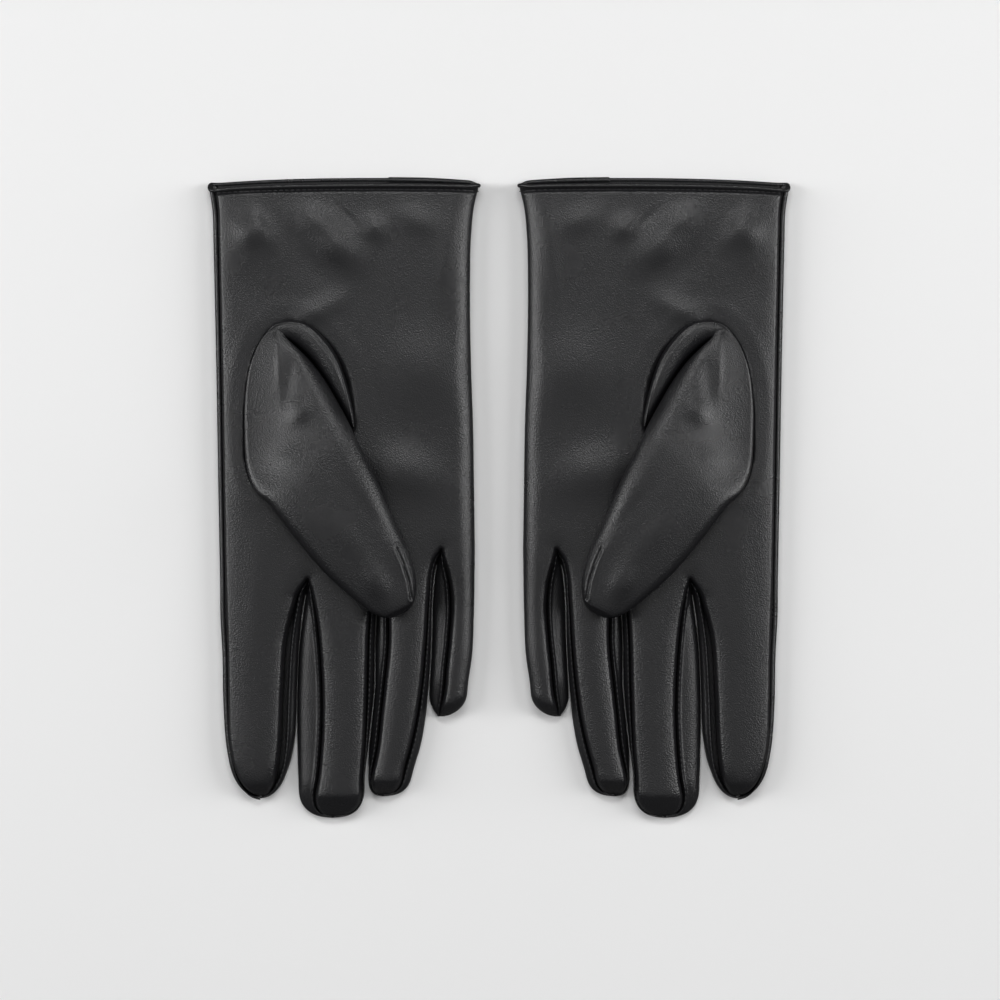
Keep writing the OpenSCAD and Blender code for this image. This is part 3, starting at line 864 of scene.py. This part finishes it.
for finger in FINGERS:
    runs = []
    for side in ("in", "out"):
        way = 1 if side == "out" else -1
        if kind(finger, side) == "fork":
            y, seam, sole = strip_edges(finger, side)
            scale = np.clip((sole - seam) * way / 3.5, 0.12, 1)
            z = seam_z(finger, side, y) - 0.7 + lip_height * scale - 0.05
            runs.append(stitch_run(np.stack([seam + way * lip_out * scale, y, z], -1)[12:-16]))
        elif kind(finger, side) == "side":
            y = np.linspace(seam_y[-1], tip_y(finger) + 8, 120)
            x = finger_x(finger, "palm_out", y, tip_inset["side"]) + 0.1
            runs.append(stitch_run(np.stack([x, y, seam_z(finger, "out", y) - 0.1], -1), 1.7, 2.0))
    on_finger(both_gloves(f"{finger}_stitches", runs, black_thread))

# ---- Knitted lining ----
# A thin black knitted lining inside the whole glove, seen only in the cuff's opening.


def knit_finish():
    """Fine black knit: rows of small loops as crossed waves of bump, with a soft sheen."""
    mat, nodes, links, shader, place = new_finish("black_knit", Base_Color=(0.012, 0.012, 0.013, 1),
                                                  Roughness=0.9, Sheen_Weight=0.3)
    height = nodes.new("ShaderNodeMath")
    height.operation = "MULTIPLY"
    for socket, direction in enumerate("XY"):
        wave = nodes.new("ShaderNodeTexWave")
        links.new(place, wave.inputs["Vector"])
        wave.bands_direction = direction
        wave.inputs["Scale"].default_value = 350
        wave.inputs["Distortion"].default_value = 0.6
        links.new(wave.outputs["Fac"], height.inputs[socket])
    raise_surface(nodes, links, shader, height.outputs[0], 0.8, 0.0003)
    return mat


black_knit = knit_finish()
lining_gap = 0.5  # between the leather and the lining


def inside(P, depth):
    """The grid P moved in along its normals by depth."""
    return P - outward(P) * depth


lining = inside(trank[::2, 9:-4:2], skin + lining_gap)
on_hand(both_gloves("hand_lining", [skin_of(lining, 0.4)], black_knit, "hand_lining"))

for finger in FINGERS:
    top = finger_rows(finger, "palm")[:-10:3, 3:-3:3]
    upper = top - (0, 0, 1.6)
    upper[..., 2] = np.maximum(upper[..., 2], 2.0)
    lower = np.stack([top[..., 0], top[..., 1], 0 * top[..., 0] + 1.4], -1)
    made = both_gloves(f"{finger}_lining", [tube_of(np.concatenate([upper, lower[:, ::-1]], 1))], black_knit,
                       f"{finger}_lining")
    on_finger(made)

thumb_grid = thumb_rows(60)[4:-6]
heart = thumb_grid.mean(1, keepdims=True)
inner_thumb = heart + (thumb_grid - heart) * (0.86, 0.86, 0.72)
on_thumb(both_gloves("thumb_lining", [tube_of(inner_thumb[:, ::3])], black_knit, "thumb_lining"))

# ---- Table, light and camera ----
# A plain pale table, a soft box low on each side, one beyond the cuffs and a broad one above, and a long lens
# straight above.

table_mat = bpy.data.materials.new("pale_table")
table_mat.use_nodes = True
shader = table_mat.node_tree.nodes["Principled BSDF"]
shader.inputs["Base Color"].default_value = (0.86, 0.86, 0.86, 1)
shader.inputs["Roughness"].default_value = 1.0
shader.inputs["Specular IOR Level"].default_value = 0.0
table_mesh = bpy.data.meshes.new("table")
reach = 3.0
table_mesh.from_pydata([(-reach, -reach, 0), (reach, -reach, 0), (reach, reach, 0), (-reach, reach, 0)], [],
                       [(0, 1, 2, 3)])
table_mesh.materials.append(table_mat)
table = bpy.data.objects.new("table", table_mesh)
bpy.context.scene.collection.objects.link(table)
table.visible_glossy = False

world = bpy.data.worlds.new("studio")
bpy.context.scene.world = world
world.use_nodes = True
world.node_tree.nodes["Background"].inputs["Color"].default_value = (1, 1, 1, 1)
world.node_tree.nodes["Background"].inputs["Strength"].default_value = 0.10


def soft_box(name, place, size, power):
    """A rectangular soft light at place, aimed at the middle of the gloves."""
    light = bpy.data.lights.new(name, "AREA")
    light.shape = "RECTANGLE"
    light.size, light.size_y = size
    light.energy = power
    lamp = bpy.data.objects.new(name, light)
    lamp.location = place
    d = np.array(place, float) / np.linalg.norm(place)
    lamp.rotation_euler = (math.acos(d[2]), 0, math.atan2(d[0], -d[1]))
    bpy.context.scene.collection.objects.link(lamp)


soft_box("left_box", (-1.6, 0.25, 0.85), (0.7, 1.4), 20)
soft_box("right_box", (1.6, 0.25, 0.85), (0.7, 1.4), 20)
soft_box("cuff_box", (0, 1.2, 1.6), (1.2, 0.5), 13)
soft_box("ceiling_box", (0, -0.2, 2.4), (2.4, 2.6), 9)

camera_data = bpy.data.cameras.new("camera")
camera_height, view_width, sensor = 1.5, 0.390, 36
camera_data.sensor_width = sensor
camera_data.lens = sensor * (camera_height - 0.006) / view_width
camera = bpy.data.objects.new("camera", camera_data)
camera.location = (0.0004, -0.0008, camera_height)
bpy.context.scene.collection.objects.link(camera)
bpy.context.scene.camera = camera
bpy.context.scene.view_settings.view_transform = "Standard"
